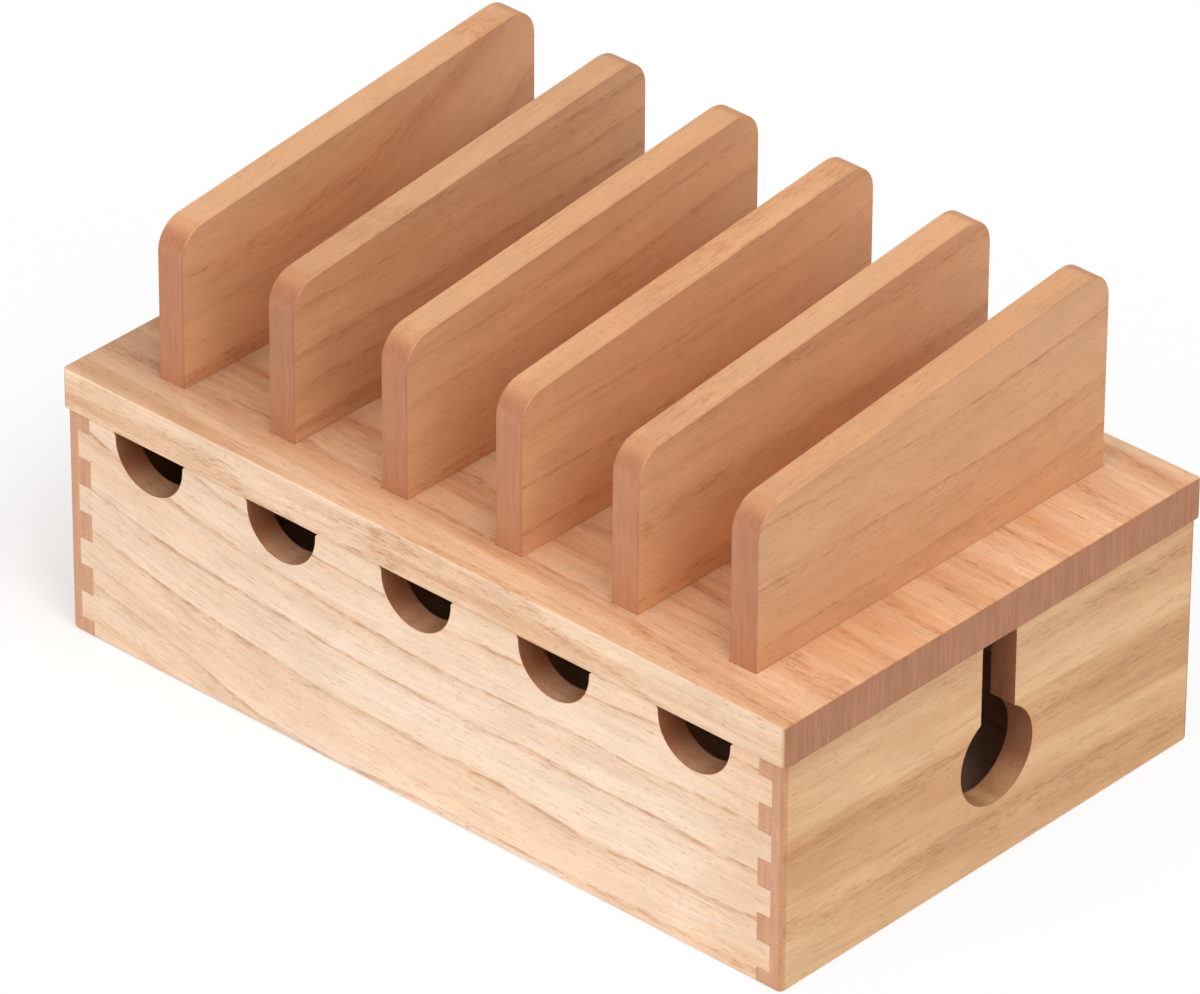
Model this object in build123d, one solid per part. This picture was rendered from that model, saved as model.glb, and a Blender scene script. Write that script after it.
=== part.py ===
from build123d import *
import os

# Wooden charging station organizer: a box for chargers with a lift-off lid
# that carries a row of upright dividers. All lengths are in millimetres.
# X runs along the length, Y from front to back and Z up. The origin is on
# the table, under the middle of the lid.

# Lid board
lid_length = 280.0
lid_depth = 178.5
lid_thickness = 13.6
lid_overhang = 0.8
lid_corner_round = 1.6
lid_edge_round = 0.7
lid_seat_gap = 0.3

# Box
box_height = 75.3
wall = 9.2
corner_round = 2.0
bottom_edge_round = 1.4

# Half-blind finger joint at the four corners of the box
finger_height = 9.0
pin_height = 9.4
finger_length = 4.9
least_end_pin = 4.0

# Bottom panel, let into a rabbet round the inside of the walls
rabbet_height = 4.0
rabbet_depth = 4.6
bottom_thickness = 3.7
bottom_clearance = 0.2

# Cord notches in the top edge of the front panel
notch_count = 5
notch_radius = 13.5
notch_centre_drop = 1.9
notch_end_distance = 33.4
notch_lip_round = 1.6

# Keyhole in the right side panel, where the supply cord comes out
keyhole_radius = 15.5
keyhole_centre_height = 35.8
keyhole_centre_y = 2.4
keyhole_slot_width = 14.6

# Dividers
divider_count = 6
divider_thickness = 9.9
divider_end_margin = 24.6
divider_front_margin = 15.4
divider_back_margin = 14.4
divider_front_height = 51.0
divider_back_height = 67.4
divider_front_round = 10.0
divider_back_round = 10.0
divider_edge_bevel = 0.4

# Stopped grooves in the lid board, where the dividers stand
groove_depth = 4.5
groove_clearance = 0.1

# Blocks under the lid that keep it in place on the box
block_width = 9.0
block_depth = 24.0
block_height = 8.0
block_clearance = 0.5

# Countersunk screw through each block into the lid board
screw_diameter = 3.0
screw_head_diameter = 6.0
screw_head_height = 2.0
screw_length = 16.0
screw_hole_clearance = 0.15

# Overrun of every cut past the face where it starts
cut = 1.0

# Worked out from the sizes above
box_length = lid_length - 2 * lid_overhang
box_depth = lid_depth - 2 * lid_overhang
half_length = box_length / 2
half_depth = box_depth / 2
root_x = half_length - wall
inner_y = half_depth - wall
lid_bottom = box_height + lid_seat_gap
lid_top = lid_bottom + lid_thickness
joint_pitch = finger_height + pin_height
finger_count = int((box_height + pin_height - 2 * least_end_pin) / joint_pitch)
first_finger = (box_height - finger_count * joint_pitch + pin_height) / 2
notch_pitch = (box_length - 2 * notch_end_distance) / (notch_count - 1)
divider_pitch = (lid_length - 2 * divider_end_margin - divider_thickness) / (divider_count - 1)
divider_front_y = -lid_depth / 2 + divider_front_margin
divider_back_y = lid_depth / 2 - divider_back_margin


def block(x0, x1, y0, y1, z0, z1):
    """Box between two opposite corners."""
    size = Box(x1 - x0, y1 - y0, z1 - z0)
    return Pos((x0 + x1) / 2, (y0 + y1) / 2, (z0 + z1) / 2) * size


def finger_heights():
    """Bottom of each finger of the corner joint."""
    return [first_finger + i * joint_pitch for i in range(finger_count)]


def notch_places():
    """Place along the front panel of each cord notch."""
    first = -half_length + notch_end_distance
    return [first + i * notch_pitch for i in range(notch_count)]


def divider_places():
    """Middle plane of each divider."""
    first = -lid_length / 2 + divider_end_margin + divider_thickness / 2
    return [first + i * divider_pitch for i in range(divider_count)]


def block_places():
    """Middle of each block under the lid, by the name of its corner."""
    x = root_x - block_clearance - block_width / 2
    y = inner_y - block_clearance - block_depth / 2
    return {"front_left": (-x, -y), "front_right": (x, -y), "back_left": (-x, y), "back_right": (x, y)}


def rabbet():
    """Space that the rabbet takes out of the four walls."""
    reach_x = root_x + rabbet_depth
    reach_y = inner_y + rabbet_depth
    return block(-reach_x, reach_x, -reach_y, reach_y, -cut, rabbet_height)


def edges_at(part, axis, place):
    """Edges of a part that lie at one place along an axis."""
    return part.edges().filter_by_position(axis, place, place)


def front_board():
    """Front or back board with its fingers, facing the front."""
    board = block(-root_x, root_x, -half_depth, -inner_y, 0, box_height)
    tip_x = root_x + finger_length
    for z in finger_heights():
        board += block(-tip_x, tip_x, -half_depth, -inner_y, z, z + finger_height)
    board -= rabbet()
    low_edge = edges_at(board, Axis.Z, 0).filter_by(Axis.X).sort_by(Axis.Y)[0]
    return fillet(low_edge, bottom_edge_round)


def cord_notch(x):
    """Cutter for a cord notch, open to the top, with eased lips."""
    centre_z = box_height - notch_centre_drop
    lip_x = notch_radius + notch_lip_round
    lip_z = box_height - notch_lip_round
    with BuildSketch(Plane.XZ) as outline:
        with BuildLine():
            CenterArc((x, centre_z), notch_radius, 180, 180)
            for side in (-1, 1):
                edge = x + side * notch_radius
                lip = x + side * lip_x
                Line((edge, centre_z), (edge, lip_z))
                start = 0 if side < 0 else 90
                CenterArc((lip, lip_z), notch_lip_round, start, 90)
                Line((lip, box_height), (lip, box_height + cut))
            Line((x - lip_x, box_height + cut), (x + lip_x, box_height + cut))
        make_face()
    depth = wall + 2 * cut
    return Pos(0, -inner_y + cut, 0) * extrude(outline.sketch, depth)


def side_board():
    """Right side board with the sockets for the fingers of both boards."""
    board = block(root_x, half_length, -half_depth, half_depth, 0, box_height)
    outer = board.edges().filter_by(Axis.Z).sort_by(Axis.X)[-2:]
    board = fillet(outer, corner_round)
    low_outer = edges_at(board, Axis.Z, 0).filter_by(Axis.Y).sort_by(Axis.X)[-1]
    board = fillet(low_outer, bottom_edge_round)
    tip_x = root_x + finger_length
    for z in finger_heights():
        for side in (-1, 1):
            y0, y1 = sorted((side * inner_y, side * (half_depth + cut)))
            board -= block(root_x - cut, tip_x, y0, y1, z, z + finger_height)
    return board - rabbet()


def keyhole():
    """Cutter for the keyhole: a round hole with a slot up to the lid."""
    hole = Pos(root_x + wall / 2, keyhole_centre_y, keyhole_centre_height) \
        * Rot(0, 90, 0) * Cylinder(keyhole_radius, wall + 2 * cut)
    half_slot = keyhole_slot_width / 2
    slot = block(root_x - cut, half_length + cut,
                 keyhole_centre_y - half_slot, keyhole_centre_y + half_slot,
                 keyhole_centre_height, box_height + cut)
    return hole + slot


def bottom_panel():
    """Thin board that closes the box from beneath."""
    reach_x = root_x + rabbet_depth - bottom_clearance
    reach_y = inner_y + rabbet_depth - bottom_clearance
    low = rabbet_height - bottom_thickness
    return block(-reach_x, reach_x, -reach_y, reach_y, low, rabbet_height)


def turned(points):
    """Solid of revolution about Z from an outline of (radius, height) points."""
    return revolve(Plane.XZ * make_face(Polyline(*points, close=True)), Axis.Z)


def screws():
    """The block screws, heads down: a countersunk head and a shank."""
    low_z = lid_bottom - block_height
    head = screw_head_diameter / 2
    shank = screw_diameter / 2
    neck_z = low_z + screw_head_height
    tip_z = low_z + screw_length
    screw = turned([(0, low_z), (head, low_z), (shank, neck_z), (shank, tip_z), (0, tip_z)])
    return [Pos(x, y, 0) * screw for x, y in block_places().values()]


def screw_holes():
    """Cutters for the countersunk holes of the block screws."""
    low_z = lid_bottom - block_height
    head = screw_head_diameter / 2 + screw_hole_clearance
    shank = screw_diameter / 2 + screw_hole_clearance
    mouth = head + cut * (head - shank) / screw_head_height
    neck_z = low_z + screw_head_height
    tip_z = low_z + screw_length + screw_hole_clearance
    hole = turned([(0, low_z - cut), (mouth, low_z - cut), (shank, neck_z), (shank, tip_z), (0, tip_z)])
    return [Pos(x, y, 0) * hole for x, y in block_places().values()]


def lid_board():
    """Lid board with a stopped groove for each divider."""
    board = block(-lid_length / 2, lid_length / 2, -lid_depth / 2, lid_depth / 2,
                  lid_bottom, lid_top)
    board = fillet(board.edges().filter_by(Axis.Z), lid_corner_round)
    rims = edges_at(board, Axis.Z, lid_top) + edges_at(board, Axis.Z, lid_bottom)
    board = fillet(rims, lid_edge_round)
    half_groove = divider_thickness / 2 + groove_clearance
    for x in divider_places():
        board -= block(x - half_groove, x + half_groove,
                       divider_front_y - groove_clearance, divider_back_y + groove_clearance,
                       lid_top - groove_depth, lid_top + cut)
    return board - screw_holes()


def divider(x):
    """Upright divider: low at the front, high at the back, round corners."""
    foot_z = lid_top - groove_depth
    front_z = lid_top + divider_front_height
    back_z = lid_top + divider_back_height
    outline = Polyline((divider_front_y, foot_z), (divider_back_y, foot_z),
                       (divider_back_y, back_z), (divider_front_y, front_z), close=True)
    face = make_face(Plane.YZ * outline)
    corners = face.vertices().sort_by(Axis.Z)
    face = fillet(corners[-2], divider_front_round)
    face = fillet(face.vertices().sort_by(Axis.Z)[-1], divider_back_round)
    board = Pos(x - divider_thickness / 2, 0, 0) * extrude(face, divider_thickness, dir=(1, 0, 0))
    rim = [edge for edge in board.edges()
           if edge.center().Z > foot_z + divider_edge_bevel and abs(edge.center().X - x) > divider_edge_bevel]
    return chamfer(rim, divider_edge_bevel)


def lid_block(x, y):
    """Block under a corner of the lid, just inside the walls."""
    half_width = block_width / 2
    half_depth_of_block = block_depth / 2
    body = block(x - half_width, x + half_width, y - half_depth_of_block, y + half_depth_of_block,
                 lid_bottom - block_height, lid_bottom)
    return body - screw_holes()


def save(name, shape):
    """Write one sub-part under its own name."""
    shape.label = name
    export_step(shape, f"parts/{name}.step")


os.makedirs("parts", exist_ok=True)

plain_board = front_board()
front_panel = plain_board
for place in notch_places():
    front_panel -= cord_notch(place)
save("front_panel", front_panel)
save("back_panel", Rot(0, 0, 180) * plain_board)
save("right_side_panel", side_board() - keyhole())
save("left_side_panel", Rot(0, 0, 180) * side_board())
save("bottom_panel", bottom_panel())

save("lid_board", lid_board())
for number, place in enumerate(divider_places(), 1):
    save(f"divider_{number}", divider(place))
for corner, (x, y) in block_places().items():
    save(f"lid_block_{corner}", lid_block(x, y))
save("lid_block_screws", Compound(screws()))
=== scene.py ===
import math

import bpy
from mathutils import Matrix, Vector


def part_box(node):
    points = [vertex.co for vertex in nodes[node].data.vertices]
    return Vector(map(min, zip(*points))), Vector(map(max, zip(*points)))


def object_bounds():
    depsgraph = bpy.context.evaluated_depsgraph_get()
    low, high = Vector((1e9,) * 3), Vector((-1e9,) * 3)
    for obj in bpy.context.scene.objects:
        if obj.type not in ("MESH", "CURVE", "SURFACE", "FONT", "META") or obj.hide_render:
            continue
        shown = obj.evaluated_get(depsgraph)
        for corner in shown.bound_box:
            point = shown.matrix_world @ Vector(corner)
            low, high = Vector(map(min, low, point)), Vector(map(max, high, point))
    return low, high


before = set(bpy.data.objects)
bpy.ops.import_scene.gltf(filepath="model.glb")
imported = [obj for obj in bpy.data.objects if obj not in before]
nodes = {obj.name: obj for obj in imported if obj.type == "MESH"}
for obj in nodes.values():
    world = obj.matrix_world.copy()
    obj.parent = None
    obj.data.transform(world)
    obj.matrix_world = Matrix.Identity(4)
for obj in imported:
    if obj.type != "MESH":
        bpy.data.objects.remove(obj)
cad_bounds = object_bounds()

X_AXIS = Vector((1.0, 0.0, 0.0))
Y_AXIS = Vector((0.0, 1.0, 0.0))
Z_AXIS = Vector((0.0, 0.0, 1.0))

# Camera: the photograph's view, with a long lens from three metres away
CAMERA_AZIMUTH = 42.373
CAMERA_ELEVATION = 32.088
CAMERA_ROLL = 0.29
CAMERA_DISTANCE = 3.0
CAMERA_TARGET = Vector((-0.0239, 0.0147, 0.0467))
CAMERA_LENS = 309.06
CAMERA_REACH = 100.0
SENSOR_WIDTH = 36.0

# Light
WHITE = (1.0, 1.0, 1.0)
AMBIENT = 0.34
SUNS = (
    # name, where it shines from, strength, softness in degrees
    ("front", (-0.1, -1.0, 0.55), 1.1, 40.0),
    ("right", (1.0, -0.35, 0.85), 1.05, 35.0),
    ("top", (0.1, -0.1, 1.0), 0.85, 60.0),
)

# Floor: its glow takes the place of its shading, more so farther from the object
FLOOR_SIZE = 40.0
FLOOR_ALBEDO = 0.8
FLOOR_GLOW = 1.0
GLOW_SHARE_LEFT = 0.3
GLOW_SHARE_RIGHT = 0.85
GLOW_SHARE_FAR = 0.94
GLOW_FROM = 0.02
GLOW_TO = 0.14

# Inside of the box, where painted shade darkens it, reaching a little beyond its faces, so that they
# belong to it
FACE_MARGIN = 0.0003
BOX_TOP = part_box("front_panel")[1].z
INNER_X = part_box("right_side_panel")[0].x + FACE_MARGIN
INNER_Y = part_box("back_panel")[0].y + FACE_MARGIN
INNER_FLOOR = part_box("bottom_panel")[1].z - FACE_MARGIN

# Noises of the wood: cycles a metre along and across the fibres, detail and roughness
NOISES = {
    "slow_wave": (5.0, 26.0, 2.0, 0.5),
    "quick_wave": (45.0, 90.0, 2.0, 0.5),
    "line_breaks": (110.0, 500.0, 4.0, 0.65),
    "line_fading": (14.0, 60.0, 2.0, 0.5),
    "late_fading": (5.0, 45.0, 2.0, 0.5),
    "streaks": (6.0, 70.0, 4.0, 0.6),
    "blotches": (60.0, 130.0, 3.0, 0.5),
    "fibres": (45.0, 1100.0, 4.0, 0.7),
    "dashes": (60.0, 700.0, 3.0, 0.6),
    "veins": (9.0, 220.0, 4.0, 0.6),
    "heart": (6.0, 16.0, 1.0, 0.5),
    "long_pores": (150.0, 1400.0, 2.0, 0.5),
    "short_pores": (380.0, 2300.0, 1.0, 0.5),
    "end_specks": (900.0, 1500.0, 2.0, 0.5),
}
NOISE_MIDDLE = 0.5

# Upright lines on end grain, in cycles a metre along X, Y and Z
END_LINES = (900.0, 900.0, 60.0)
END_LINES_DETAIL = 3.0
END_LINES_ROUGHNESS = 0.6

# How far each board's noises are shifted, times its seed
SEED_STEP = (3.1, 5.3, 2.7)

# Levels of a noise between which what it stands for rises from nothing to full
LEVELS = {
    "line_breaks": (0.4, 0.62),
    "line_fading": (0.3, 0.6),
    "late_fading": (0.35, 0.65),
    "streaks": (0.32, 0.68),
    "blotches": (0.3, 0.7),
    "fibres": (0.25, 0.75),
    "dashes": (0.5, 0.78),
    "veins": (0.5, 0.75),
    "heart": (0.4, 0.65),
    "end_lines": (0.25, 0.75),
    "end_specks": (0.45, 0.75),
    "roughness": (0.2, 0.8),
}

# Growth rings: sizes of the waves that bend them, and how much of the ring width is left where the
# line is full, where it starts to end and where the late wood starts to end
SLOW_WAVE_SIZE = 7.0
QUICK_WAVE_SIZE = 0.55
LINE_FULL_SHARE = 0.35
LINE_OVER_SHARE = 0.25
LATE_OVER_SHARE = 0.5
LATE_POWER = 3.0
RISE_POWER = 2.0

# What is left of the lines and of the late wood where they fade most
LEAST_BROKEN = 0.15
LEAST_FADED = 0.45
LEAST_LATE = 0.35

# Pores: the noise level that they start from, its drop at a ring, how sharp their edge is, how far
# the short ones lag behind and how strongly late wood draws them
PORE_LEVEL = 0.63
PORE_DROP = 0.16
PORE_EDGE = 7.0
SHORT_PORE_LAG = 0.01
LATE_CROWD = 0.5

# How far a surface faces along the fibres where side grain gives way to end grain, where the
# corner between them is burnished, and where a paler zone fades out
END_GRAIN = (0.35, 0.85)
BURNISH_FROM = (0.03, 0.3)
BURNISH_TO = (0.9, 0.995)
BURNISH = 0.8
PALE_FACING = (0.02, 0.25)

# How strongly the late wood and dark specks show on end grain
LATE_ON_END = 0.5
SPECK_STRENGTH = 0.35

# Edges of the tinted zones and of the painted shade
RING_EDGE = 0.002
PALE_EDGE = 0.003
SHADE_BOX_EDGE = (-0.002, 0.008)
CUT_TOP = (BOX_TOP - 0.0015, BOX_TOP - 0.0003)
CUT_END = 0.01
CUT_END_EDGE = 0.005

# How far a surface faces a direction where it becomes the board's face, a side and a floor
CUT_FACING = (0.2, 0.8)
SIDE_FACING = (0.4, 0.8)
FLOOR_FACING = (0.3, 0.9)

# Arrises: how far round they are looked for, and how much darker and smoother they are
ARRIS_RADIUS = 0.0012
ARRIS_SAMPLES = 4
ARRIS = (0.72, 0.98)
ARRIS_WEAR = 0.5
ARRIS_POLISH = 0.15

# Unevenness and gloss of the wood
BLOTCH_DEPTH = 0.035
BUMP_STRENGTH = 0.3
BUMP_HEIGHT = 0.0003
BUMP_SHARE = 0.5
ROUGHNESS = (0.5, 0.64)
SPECULAR = 0.35

# Steel
STEEL_GRAIN = 900.0
STEEL_DETAIL = 3.0
STEEL_ROUGHNESS = (0.28, 0.45)


class Graph:
    """Builds the node tree of a material or of the world."""

    def __init__(self, owner):
        owner.use_nodes = True
        self.owner = owner
        self.tree = owner.node_tree
        self.tree.nodes.clear()

    def add(self, kind, inputs=None, **settings):
        """Adds a node. A value in inputs is a socket to link or a plain value."""
        node = self.tree.nodes.new(kind)
        for key, value in settings.items():
            setattr(node, key, value)
        for key, value in (inputs or {}).items():
            if isinstance(value, bpy.types.NodeSocket):
                self.tree.links.new(value, node.inputs[key])
            else:
                node.inputs[key].default_value = value
        return node

    def math(self, operation, a, b=0.0, clamp=False):
        return self.add("ShaderNodeMath", {0: a, 1: b}, operation=operation, use_clamp=clamp).outputs[0]

    def times(self, *values):
        """Product of sockets and numbers."""
        product = values[0]
        for value in values[1:]:
            product = self.math("MULTIPLY", product, value)
        return product

    def vector_math(self, operation, inputs, output="Vector"):
        return self.add("ShaderNodeVectorMath", inputs, operation=operation).outputs[output]

    def dot(self, vector, direction):
        return self.vector_math("DOT_PRODUCT", {0: vector, 1: tuple(direction)}, "Value")

    def vector(self, x, y, z):
        return self.add("ShaderNodeCombineXYZ", {"X": x, "Y": y, "Z": z}).outputs[0]

    def parts(self, vector):
        """The outputs X, Y and Z of a vector."""
        return self.add("ShaderNodeSeparateXYZ", {0: vector}).outputs

    def ramp(self, value, low, high, to_low=0.0, to_high=1.0):
        """Smooth step from one value to another."""
        inputs = {"Value": value, "From Min": low, "From Max": high, "To Min": to_low, "To Max": to_high}
        return self.add("ShaderNodeMapRange", inputs, interpolation_type="SMOOTHSTEP").outputs[0]

    def noise(self, vector, detail, roughness=0.5):
        inputs = {"Vector": vector, "Scale": 1.0, "Detail": detail, "Roughness": roughness}
        return self.add("ShaderNodeTexNoise", inputs, noise_dimensions="3D").outputs["Fac"]

    def mix(self, share, a, b, blend="MIX"):
        """Mixes two colours; a share may be a socket or a number."""
        node = self.add("ShaderNodeMix", data_type="RGBA", blend_type=blend)
        for index, value in ((0, share), (6, a), (7, b)):
            if isinstance(value, bpy.types.NodeSocket):
                self.tree.links.new(value, node.inputs[index])
            else:
                node.inputs[index].default_value = value if index == 0 else (*value, 1.0)
        return node.outputs[2]

    def tint(self, share, colour, tint):
        """Multiplies a share of the colour by a tint."""
        return self.mix(share, colour, tint, "MULTIPLY")

    def seen_directly(self):
        """1 for rays from the camera, mirrors and glass, and 0 for rays that light the object."""
        path = self.add("ShaderNodeLightPath")
        total = path.outputs["Is Camera Ray"]
        for name in ("Is Glossy Ray", "Is Transmission Ray"):
            total = self.math("MAXIMUM", total, path.outputs[name])
        return total

    def finish(self, **inputs):
        """Ends in a Principled shader and returns the material."""
        shader = self.add("ShaderNodeBsdfPrincipled", {k.replace("_", " "): v for k, v in inputs.items()})
        self.add("ShaderNodeOutputMaterial", {"Surface": shader.outputs[0]})
        return self.owner


class WoodGraph(Graph):
    """Node tree of one board, with the places along, across and beside its fibres."""

    def __init__(self, name, seed, fibre, growth):
        super().__init__(bpy.data.materials.new(name))
        coordinates = self.add("ShaderNodeTexCoord")
        self.place = coordinates.outputs["Object"]
        self.normal = coordinates.outputs["Normal"]
        self.shift = [seed * step for step in SEED_STEP]
        growth = (growth - fibre * growth.dot(fibre)).normalized()
        self.along = self.dot(self.place, fibre)
        self.across = self.dot(self.place, growth)
        self.beside = self.dot(self.place, fibre.cross(growth))
        self.facing = self.math("ABSOLUTE", self.dot(self.normal, fibre))

    def lift_rings(self, rise, rise_from, rise_to):
        """Lets the rings climb along the board."""
        reach = self.math("SUBTRACT", self.along, rise_from)
        reach = self.math("DIVIDE", reach, rise_to - rise_from, clamp=True)
        climb = self.times(self.math("POWER", reach, RISE_POWER), rise)
        self.across = self.math("SUBTRACT", self.across, climb)

    def own_noise(self, vector, detail, roughness):
        """Noise that is different for each board."""
        return self.noise(self.vector_math("ADD", {0: vector, 1: self.shift}), detail, roughness)

    def grain(self, name, across_scale=None):
        """One of the noises of the wood, stretched along the fibres."""
        along_scale, usual_scale, detail, roughness = NOISES[name]
        across_scale = across_scale or usual_scale
        scaled = self.vector(self.times(self.along, along_scale), self.times(self.across, across_scale),
                             self.times(self.beside, across_scale))
        return self.own_noise(scaled, detail, roughness)

    def wave(self, name, size):
        """A noise of the wood that swings to both sides of zero."""
        return self.times(self.math("SUBTRACT", self.grain(name), NOISE_MIDDLE), size)

    def layer(self, name, to_low=0.0, to_high=1.0, across_scale=None):
        """One of the noises of the wood between its two levels."""
        return self.ramp(self.grain(name, across_scale), *LEVELS[name], to_low, to_high)

    def facing_side(self, direction):
        """1 on the side that faces a direction."""
        return self.ramp(self.dot(self.normal, direction), *SIDE_FACING)


def srgb(red, green, blue):
    """Linear colour from display values of 0 to 255."""
    def linear(value):
        share = value / 255
        return share / 12.92 if share <= 0.04045 else ((share + 0.055) / 1.055) ** 2.4
    return tuple(linear(value) for value in (red, green, blue))


def slanted(axis, towards, degrees):
    """A direction turned from one axis towards another."""
    angle = math.radians(degrees)
    return (axis * math.cos(angle) + towards * math.sin(angle)).normalized()


def growth_rings(g, gap, width, waves, start):
    """Distance from the ring at start, the dark lines of the rings and the late wood before them."""
    bend = g.math("ADD", g.wave("slow_wave", waves * SLOW_WAVE_SIZE),
                  g.wave("quick_wave", waves * QUICK_WAVE_SIZE))
    bent = g.math("ADD", g.math("SUBTRACT", g.across, start), bend)
    phase = g.math("FRACT", g.math("DIVIDE", bent, gap))
    lines = g.times(g.ramp(phase, 1 - width, 1 - width * LINE_FULL_SHARE),
                    g.ramp(phase, 1 - width * LINE_OVER_SHARE, 1.0, 1.0, 0.0))
    uneven = g.times(g.layer("line_breaks", LEAST_BROKEN), g.layer("line_fading", LEAST_FADED))
    lines = g.times(lines, uneven)
    late = g.math("POWER", phase, LATE_POWER)
    late = g.times(late, g.ramp(phase, 1 - width * LATE_OVER_SHARE, 1.0, 1.0, 0.0))
    late = g.times(late, g.layer("late_fading", LEAST_LATE))
    return bent, lines, late


def open_pores(g, lines, late):
    """Pores, long and short, that crowd along each ring."""
    crowd = g.math("MAXIMUM", lines, g.times(late, LATE_CROWD))
    level = g.math("SUBTRACT", PORE_LEVEL, g.times(crowd, PORE_DROP))
    short_pore = g.math("SUBTRACT", g.grain("short_pores"), SHORT_PORE_LAG)
    pore = g.math("MAXIMUM", g.grain("long_pores"), short_pore)
    return g.math("MULTIPLY", g.math("SUBTRACT", pore, level), PORE_EDGE, clamp=True)


def end_grain(g, tones, late):
    """Colour of the end grain, where the fibres meet the surface."""
    lines = g.own_noise(g.vector_math("MULTIPLY", {0: g.place, 1: END_LINES}), END_LINES_DETAIL,
                        END_LINES_ROUGHNESS)
    colour = g.mix(g.ramp(lines, *LEVELS["end_lines"]), tones["end"], tones["end_dark"])
    colour = g.mix(g.times(late, LATE_ON_END), colour, tones["end_dark"])
    return g.mix(g.layer("end_specks", 0.0, SPECK_STRENGTH), colour, tones["pore"])


def shade_cut_outs(g, colour, fibre, board, floor_shade):
    """Painted shade on the walls of the notches and the keyhole, and a share of it where they face up."""
    flat = g.math("ABSOLUTE", g.dot(g.normal, board))
    cut = g.times(g.ramp(flat, *CUT_FACING, 1.0, 0.0), g.ramp(g.dot(g.place, Z_AXIS), *CUT_TOP, 1.0, 0.0))
    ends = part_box("right_side_panel")[1].dot(fibre) - CUT_END
    cut = g.times(cut, g.ramp(g.math("ABSOLUTE", g.along), ends - CUT_END_EDGE, ends, 1.0, 0.0))
    upward = g.ramp(g.dot(g.normal, Z_AXIS), *FLOOR_FACING, 1.0, floor_shade)
    return g.tint(g.times(cut, upward), colour, CUT_OUT_SHADE_TINT)


def shade_inside(g, colour):
    """Painted shade on the inside of the box."""
    apart = g.parts(g.vector_math("ABSOLUTE", {0: g.place}))
    inside = g.times(g.math("LESS_THAN", apart["X"], INNER_X), g.math("LESS_THAN", apart["Y"], INNER_Y),
                     g.math("LESS_THAN", apart["Z"], BOX_TOP),
                     g.math("GREATER_THAN", apart["Z"], INNER_FLOOR))
    return g.tint(inside, colour, INSIDE_SHADE_TINT)


def paint_shade_in_box(g, colour, low, high):
    """Painted shade on the upper face within a box, such as between the dividers."""
    before = g.vector_math("SUBTRACT", {0: low, 1: g.place})
    beyond = g.vector_math("SUBTRACT", {0: g.place, 1: high})
    apart = g.parts(g.vector_math("MAXIMUM", {0: before, 1: beyond}))
    out = g.math("MAXIMUM", apart["X"], apart["Y"])
    share = g.times(g.ramp(out, *SHADE_BOX_EDGE, 1.0, 0.0), g.facing_side(Z_AXIS))
    return g.tint(share, colour, LID_SHADE_TINT)


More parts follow.
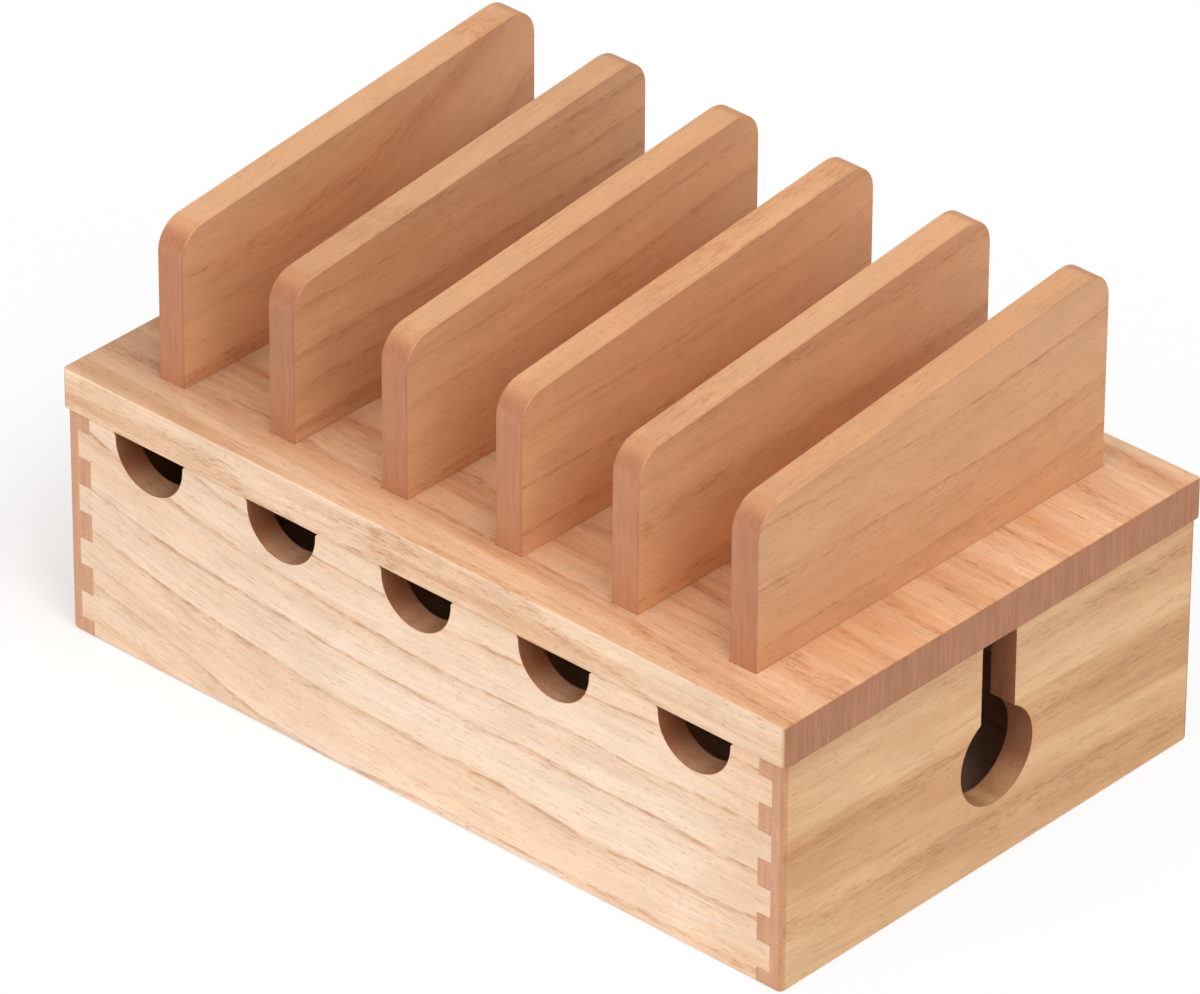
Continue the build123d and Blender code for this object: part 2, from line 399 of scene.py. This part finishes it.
def wood(name, seed, tones, fibre, growth, ring_gap, ring_width=0.10, line=0.55, fringe=0.22,
         streaks=0.5, streak_scale=None, veins=0.2, dashes=0.2, pores=0.6, fibres=0.05, warm=0.4,
         waves=0.004, start=0.0, rise=0.0, rise_from=0.0, rise_to=1.0, board=None, floor_shade=1.0,
         fades=(), pale_from=None, pale_face=None, shade_box=None):
    """Solid wood, cut from one block: what a face shows follows from how it lies to the fibres.

    fibre is the direction of the fibres and growth the direction across the growth rings.
    tones holds the colours light, middle, dark, pore, end and end_dark. One ring lies at start,
    measured along growth. The rings lie flat at rise_from and have climbed by rise at rise_to, two
    places along the fibres. Where board, the direction of the board's face, is given, painted shade
    darkens the walls of its cut-outs, by a share of floor_shade where they face up. Each of the
    fades is a place along the fibres where its tint starts, the place where the tint is full, and
    the tint. Where pale_from is given, the wood is paler beyond the ring at start, and again from
    that far before it. pale_face is the direction of a side that is paler and doesn't fade.
    shade_box is a box, low and high corner, whose upper face is darkened by painted shade.
    """
    g = WoodGraph(name, seed, fibre, growth)
    if rise:
        g.lift_rings(rise, rise_from, rise_to)
    bent, lines, late = growth_rings(g, ring_gap, ring_width, waves, start)
    pore = open_pores(g, lines, late)
    fine = g.grain("fibres")

    # Side grain: streaks, rings, veins, dashes, a warmer heart and pores
    streak = g.layer("streaks", across_scale=streak_scale)
    colour = g.mix(g.times(streak, streaks), tones["light"], tones["middle"])
    darker = ((late, fringe), (lines, line), (g.layer("veins"), veins), (g.layer("dashes"), dashes))
    for share, strength in darker:
        colour = g.mix(g.times(share, strength), colour, tones["dark"])
    colour = g.tint(g.times(g.layer("heart"), warm), colour, HEART_TINT)
    colour = g.mix(g.times(pore, pores), colour, tones["pore"])
    colour = g.mix(g.ramp(g.facing, *END_GRAIN), colour, end_grain(g, tones, late))

    # Uneven lightness, blotches with fine fibres on them
    light = g.times(g.layer("blotches", 1 - BLOTCH_DEPTH, 1 + BLOTCH_DEPTH),
                    g.ramp(fine, *LEVELS["fibres"], 1 - fibres, 1 + fibres))
    colour = g.tint(1.0, colour, g.vector(light, light, light))

    # Paler zones, fades towards the ends, and painted shade between the dividers, in the cut-outs and
    # inside the box
    if pale_from:
        beyond = g.math("MAXIMUM", g.ramp(bent, 0.0, RING_EDGE),
                        g.ramp(bent, PALE_EDGE - pale_from, -pale_from))
        beyond = g.times(beyond, g.ramp(g.facing, *PALE_FACING, 1.0, 0.0))
        colour = g.tint(beyond, colour, PALE_TINT)
    if pale_face:
        edge = g.facing_side(pale_face)
        colour = g.tint(edge, colour, EDGE_TINT)
    for begin, full, fade_tint in fades:
        fade = g.ramp(g.along, begin, full)
        if pale_face:
            fade = g.times(fade, g.math("SUBTRACT", 1.0, edge))
        colour = g.tint(fade, colour, fade_tint)
    if shade_box:
        colour = paint_shade_in_box(g, colour, *shade_box)
    if board:
        colour = shade_cut_outs(g, colour, fibre, board, floor_shade)
    colour = shade_inside(g, colour)

    # Round corners between side grain and end grain, burnished
    corner = g.times(g.ramp(g.facing, *BURNISH_FROM), g.ramp(g.facing, *BURNISH_TO, 1.0, 0.0))
    colour = g.tint(g.times(corner, BURNISH), colour, CORNER_TINT)

    # Arrises, rubbed a little darker and smoother
    rounded = g.add("ShaderNodeBevel", {"Radius": ARRIS_RADIUS}, samples=ARRIS_SAMPLES).outputs[0]
    plain = g.add("ShaderNodeNewGeometry").outputs["True Normal"]
    sharp = g.vector_math("DOT_PRODUCT", {0: rounded, 1: plain}, "Value")
    worn = g.ramp(sharp, *ARRIS, ARRIS_WEAR, 0.0)
    colour = g.tint(worn, colour, WORN_TINT)

    # Surface: fibres stand out and pores are sunk
    height = g.math("SUBTRACT", g.times(fine, BUMP_SHARE), g.times(pore, BUMP_SHARE))
    bump = g.add("ShaderNodeBump", {"Strength": BUMP_STRENGTH, "Distance": BUMP_HEIGHT, "Height": height})
    roughness = g.math("SUBTRACT", g.ramp(fine, *LEVELS["roughness"], *ROUGHNESS),
                       g.times(worn, ARRIS_POLISH))
    return g.finish(Base_Color=colour, Roughness=roughness, Normal=bump.outputs[0],
                    Specular_IOR_Level=SPECULAR)


def steel(name):
    """Plain turned steel of the small screws."""
    g = Graph(bpy.data.materials.new(name))
    place = g.add("ShaderNodeTexCoord").outputs["Object"]
    grain = g.noise(g.vector_math("SCALE", {0: place, "Scale": STEEL_GRAIN}), STEEL_DETAIL)
    colour = g.mix(grain, *STEEL_TONES)
    roughness = g.ramp(grain, *LEVELS["roughness"], *STEEL_ROUGHNESS)
    return g.finish(Base_Color=colour, Metallic=1.0, Roughness=roughness)


def paint(node, material):
    """Puts one material on a node of the frame."""
    slots = nodes[node].data.materials
    slots.clear()
    slots.append(material)


# Colours of the woods and the steel
FRONT_TONES = {
    "light": srgb(250, 226, 204), "middle": srgb(244, 210, 178), "dark": srgb(208, 158, 116),
    "pore": srgb(200, 148, 104), "end": srgb(208, 156, 122), "end_dark": srgb(194, 140, 108),
}
SIDE_TONES = {
    "light": srgb(236, 191, 144), "middle": srgb(213, 161, 114), "dark": srgb(180, 122, 78),
    "pore": srgb(176, 118, 74), "end": srgb(216, 166, 132), "end_dark": srgb(203, 151, 118),
}
LID_TONES = {
    "light": srgb(243, 203, 166), "middle": srgb(228, 177, 136), "dark": srgb(194, 128, 82),
    "pore": srgb(188, 122, 78), "end": srgb(193, 138, 104), "end_dark": srgb(170, 117, 86),
}
DIVIDER_TONES = {
    "light": srgb(224, 173, 130), "middle": srgb(213, 156, 112), "dark": srgb(182, 116, 74),
    "pore": srgb(178, 114, 74), "end": srgb(194, 134, 100), "end_dark": srgb(181, 122, 90),
}
STEEL_TONES = (srgb(150, 150, 152), srgb(196, 196, 198))

# Tints: a colour is multiplied by them
HEART_TINT = (1.0, 0.88, 0.76)
# Painted shade on the walls of the cut-outs
CUT_OUT_SHADE_TINT = (0.60, 0.46, 0.38)
WORN_TINT = (0.86, 0.74, 0.64)
CORNER_TINT = (0.86, 0.76, 0.68)
# Painted shade inside the box
INSIDE_SHADE_TINT = (0.68, 0.60, 0.56)
PALE_TINT = (1.08, 1.18, 1.27)
EDGE_TINT = (1.04, 1.19, 1.34)
# Painted shade on the lid between the dividers and left of them
LID_SHADE_TINT = (0.84, 0.77, 0.73)

# Front panel: its rings rise towards the left end
paint("front_panel", wood(
    "front_wood", 1.0, FRONT_TONES, fibre=X_AXIS, growth=slanted(Z_AXIS, Y_AXIS, 15.0),
    ring_gap=0.0155, ring_width=0.16, line=0.75, fringe=0.3, streaks=0.8, veins=0.25, dashes=0.3,
    fibres=0.08, warm=0.35, start=-0.003, rise=0.017, rise_from=-0.01, rise_to=-0.139, board=Y_AXIS,
    fades=((-0.01, -0.05, (0.95, 0.93, 0.91)), (0.1, 0.125, (0.95, 0.89, 0.82)))))

# Back panel: of the same wood as the front, with rings that hardly slope
paint("back_panel", wood(
    "back_wood", 2.0, FRONT_TONES, fibre=slanted(X_AXIS, Z_AXIS, 2.0),
    growth=slanted(Z_AXIS, Y_AXIS, 20.0), ring_gap=0.015, ring_width=0.16, line=0.75, fringe=0.3,
    streaks=0.8, dashes=0.3, fibres=0.08, warm=0.35))

# Right side panel: broad soft bands, paler near its top and its foot, and darker towards the back
paint("right_side_panel", wood(
    "right_side_wood", 3.0, SIDE_TONES, fibre=slanted(Y_AXIS, Z_AXIS, -2.5),
    growth=slanted(Z_AXIS, X_AXIS, 20.0), ring_gap=0.0272, ring_width=0.5, line=0.12, fringe=0.9,
    streaks=0.9, streak_scale=45.0, veins=0.3, dashes=0.35, pores=0.5, waves=0.003, start=0.0934,
    board=X_AXIS, floor_shade=0.0, fades=((0.0, 0.07, (0.92, 0.88, 0.84)),), pale_from=0.0215))

# Left side panel: of the same wood as the right
paint("left_side_panel", wood(
    "left_side_wood", 4.0, SIDE_TONES, fibre=slanted(Y_AXIS, Z_AXIS, -3.0),
    growth=slanted(Z_AXIS, X_AXIS, 25.0), ring_gap=0.024, ring_width=0.5, line=0.12, fringe=0.8,
    streaks=0.9, streak_scale=45.0, veins=0.3, dashes=0.35, pores=0.5, waves=0.005))

# Bottom panel
paint("bottom_panel", wood(
    "bottom_wood", 5.0, FRONT_TONES, fibre=slanted(X_AXIS, Y_AXIS, 2.0),
    growth=slanted(Y_AXIS, Z_AXIS, 40.0), ring_gap=0.014))

# Lid, with painted shade between the dividers and left of them, and, from its first fade, towards its
# left end
SHADE_BOX_LOW = (*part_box("lid_board")[0][:1], *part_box("divider_1")[0][1:])
SHADE_BOX_HIGH = (*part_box("divider_6")[0][:1], *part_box("divider_6")[1][1:])
paint("lid_board", wood(
    "lid_wood", 6.0, LID_TONES, fibre=slanted(X_AXIS, Y_AXIS, -2.0),
    growth=slanted(Y_AXIS, Z_AXIS, 30.0), ring_gap=0.017, ring_width=0.3, line=0.25, fringe=0.4,
    streaks=1.0, streak_scale=110.0, veins=0.35, dashes=0.35, fibres=0.07, warm=0.35, waves=0.007,
    fades=((0.0, -0.14, (0.80, 0.80, 0.80)), (0.05, 0.13, (1.0, 0.97, 0.95))),
    pale_face=-Y_AXIS, shade_box=(SHADE_BOX_LOW, SHADE_BOX_HIGH)))

# Dividers: one ring lies above the foot of each
RING_ABOVE_FOOT = 0.013
DIVIDERS = (
    # brightness, slope of the fibres in degrees, ring gap, ring width, strength of the lines and of
    # their fringes, rise of the rings at the back
    (1.03, 1.0, 0.0340, 0.40, 0.20, 0.50, 0.038),
    (0.93, 1.0, 0.0125, 0.35, 0.20, 0.45, 0.004),
    (1.00, 3.0, 0.0140, 0.20, 0.15, 0.30, 0.006),
    (1.04, 1.0, 0.0160, 0.15, 0.20, 0.25, 0.010),
    (1.06, 2.0, 0.0240, 0.30, 0.08, 0.30, 0.004),
    (1.00, 0.0, 0.0185, 0.10, 0.40, 0.15, 0.007),
)
for number, (brightness, slope, ring_gap, ring_width, line, fringe, rise) in enumerate(DIVIDERS, 1):
    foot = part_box(f"divider_{number}")[0].z
    tones = {name: tuple(part * brightness for part in tone) for name, tone in DIVIDER_TONES.items()}
    paint(f"divider_{number}", wood(
        f"divider_{number}_wood", 10.0 + number, tones, fibre=slanted(Y_AXIS, Z_AXIS, slope),
        growth=Z_AXIS, ring_gap=ring_gap, ring_width=ring_width, line=line, fringe=fringe,
        dashes=0.15, pores=0.45, waves=0.002, start=foot + RING_ABOVE_FOOT, rise=rise,
        rise_from=-0.04, rise_to=0.075))

# Blocks under the lid and their screws
for number, corner in enumerate(("front_left", "front_right", "back_left", "back_right"), 1):
    paint(f"lid_block_{corner}", wood(
        f"block_{corner}_wood", 20.0 + number, FRONT_TONES, fibre=Y_AXIS,
        growth=slanted(X_AXIS, Z_AXIS, 30.0), ring_gap=0.012))
paint("lid_block_screws", steel("screw_steel"))


def make_world():
    """White where it is seen, and a softer light on the object."""
    world = bpy.data.worlds.new("studio")
    bpy.context.scene.world = world
    g = Graph(world)
    light = g.add("ShaderNodeBackground", {"Color": (*WHITE, 1.0), "Strength": AMBIENT})
    shown = g.add("ShaderNodeBackground", {"Color": (*WHITE, 1.0)})
    mix = g.add("ShaderNodeMixShader", {0: g.seen_directly(), 1: light.outputs[0], 2: shown.outputs[0]})
    g.add("ShaderNodeOutputWorld", {"Surface": mix.outputs[0]})


def make_floor():
    """Pale floor that shows as white and keeps the object's shadow, mostly left of it."""
    bpy.ops.mesh.primitive_plane_add(size=FLOOR_SIZE)
    floor = bpy.context.object
    floor.name = "floor"
    g = Graph(bpy.data.materials.new("floor_white"))
    seen = g.seen_directly()
    diffuse = g.add("ShaderNodeBsdfDiffuse", {"Color": g.mix(seen, (FLOOR_ALBEDO,) * 3, WHITE)})
    glow = g.add("ShaderNodeEmission", {"Strength": FLOOR_GLOW})
    place = g.add("ShaderNodeTexCoord").outputs["Object"]
    near = g.ramp(g.dot(place, X_AXIS), cad_bounds[0][0], cad_bounds[1][0], GLOW_SHARE_LEFT,
                  GLOW_SHARE_RIGHT)
    apart = g.vector_math("ABSOLUTE", {0: place})
    apart = g.parts(g.vector_math("SUBTRACT", {0: apart, 1: tuple(cad_bounds[1])}))
    away = g.math("MAXIMUM", apart["X"], apart["Y"])
    share = g.times(seen, g.ramp(away, GLOW_FROM, GLOW_TO, near, GLOW_SHARE_FAR))
    mix = g.add("ShaderNodeMixShader", {0: share, 1: diffuse.outputs[0], 2: glow.outputs[0]})
    g.add("ShaderNodeOutputMaterial", {"Surface": mix.outputs[0]})
    floor.data.materials.append(g.owner)


def sun(name, source, strength, softness):
    """Soft light from one side, the same over the whole floor."""
    data = bpy.data.lights.new(name, "SUN")
    data.energy = strength
    data.angle = math.radians(softness)
    lamp = bpy.data.objects.new(name, data)
    bpy.context.scene.collection.objects.link(lamp)
    lamp.rotation_euler = Vector(source).to_track_quat("Z", "Y").to_euler()


def make_camera():
    """Camera from its angles round the target and its roll."""
    azimuth, elevation, roll = (math.radians(a) for a in (CAMERA_AZIMUTH, CAMERA_ELEVATION, CAMERA_ROLL))
    back = Vector((math.sin(azimuth) * math.cos(elevation),
                   -math.cos(azimuth) * math.cos(elevation), math.sin(elevation)))
    right = Z_AXIS.cross(back).normalized()
    up = back.cross(right)
    turned_right = right * math.cos(roll) + up * math.sin(roll)
    turned_up = up * math.cos(roll) - right * math.sin(roll)
    data = bpy.data.cameras.new("camera")
    data.lens = CAMERA_LENS
    data.sensor_width = SENSOR_WIDTH
    data.clip_end = CAMERA_REACH
    camera = bpy.data.objects.new("camera", data)
    bpy.context.scene.collection.objects.link(camera)
    matrix = Matrix((turned_right, turned_up, back)).transposed().to_4x4()
    matrix.translation = CAMERA_TARGET + back * CAMERA_DISTANCE
    camera.matrix_world = matrix
    bpy.context.scene.camera = camera


make_world()
make_floor()
for settings in SUNS:
    sun(*settings)
make_camera()
bpy.context.scene.view_settings.view_transform = "Standard"
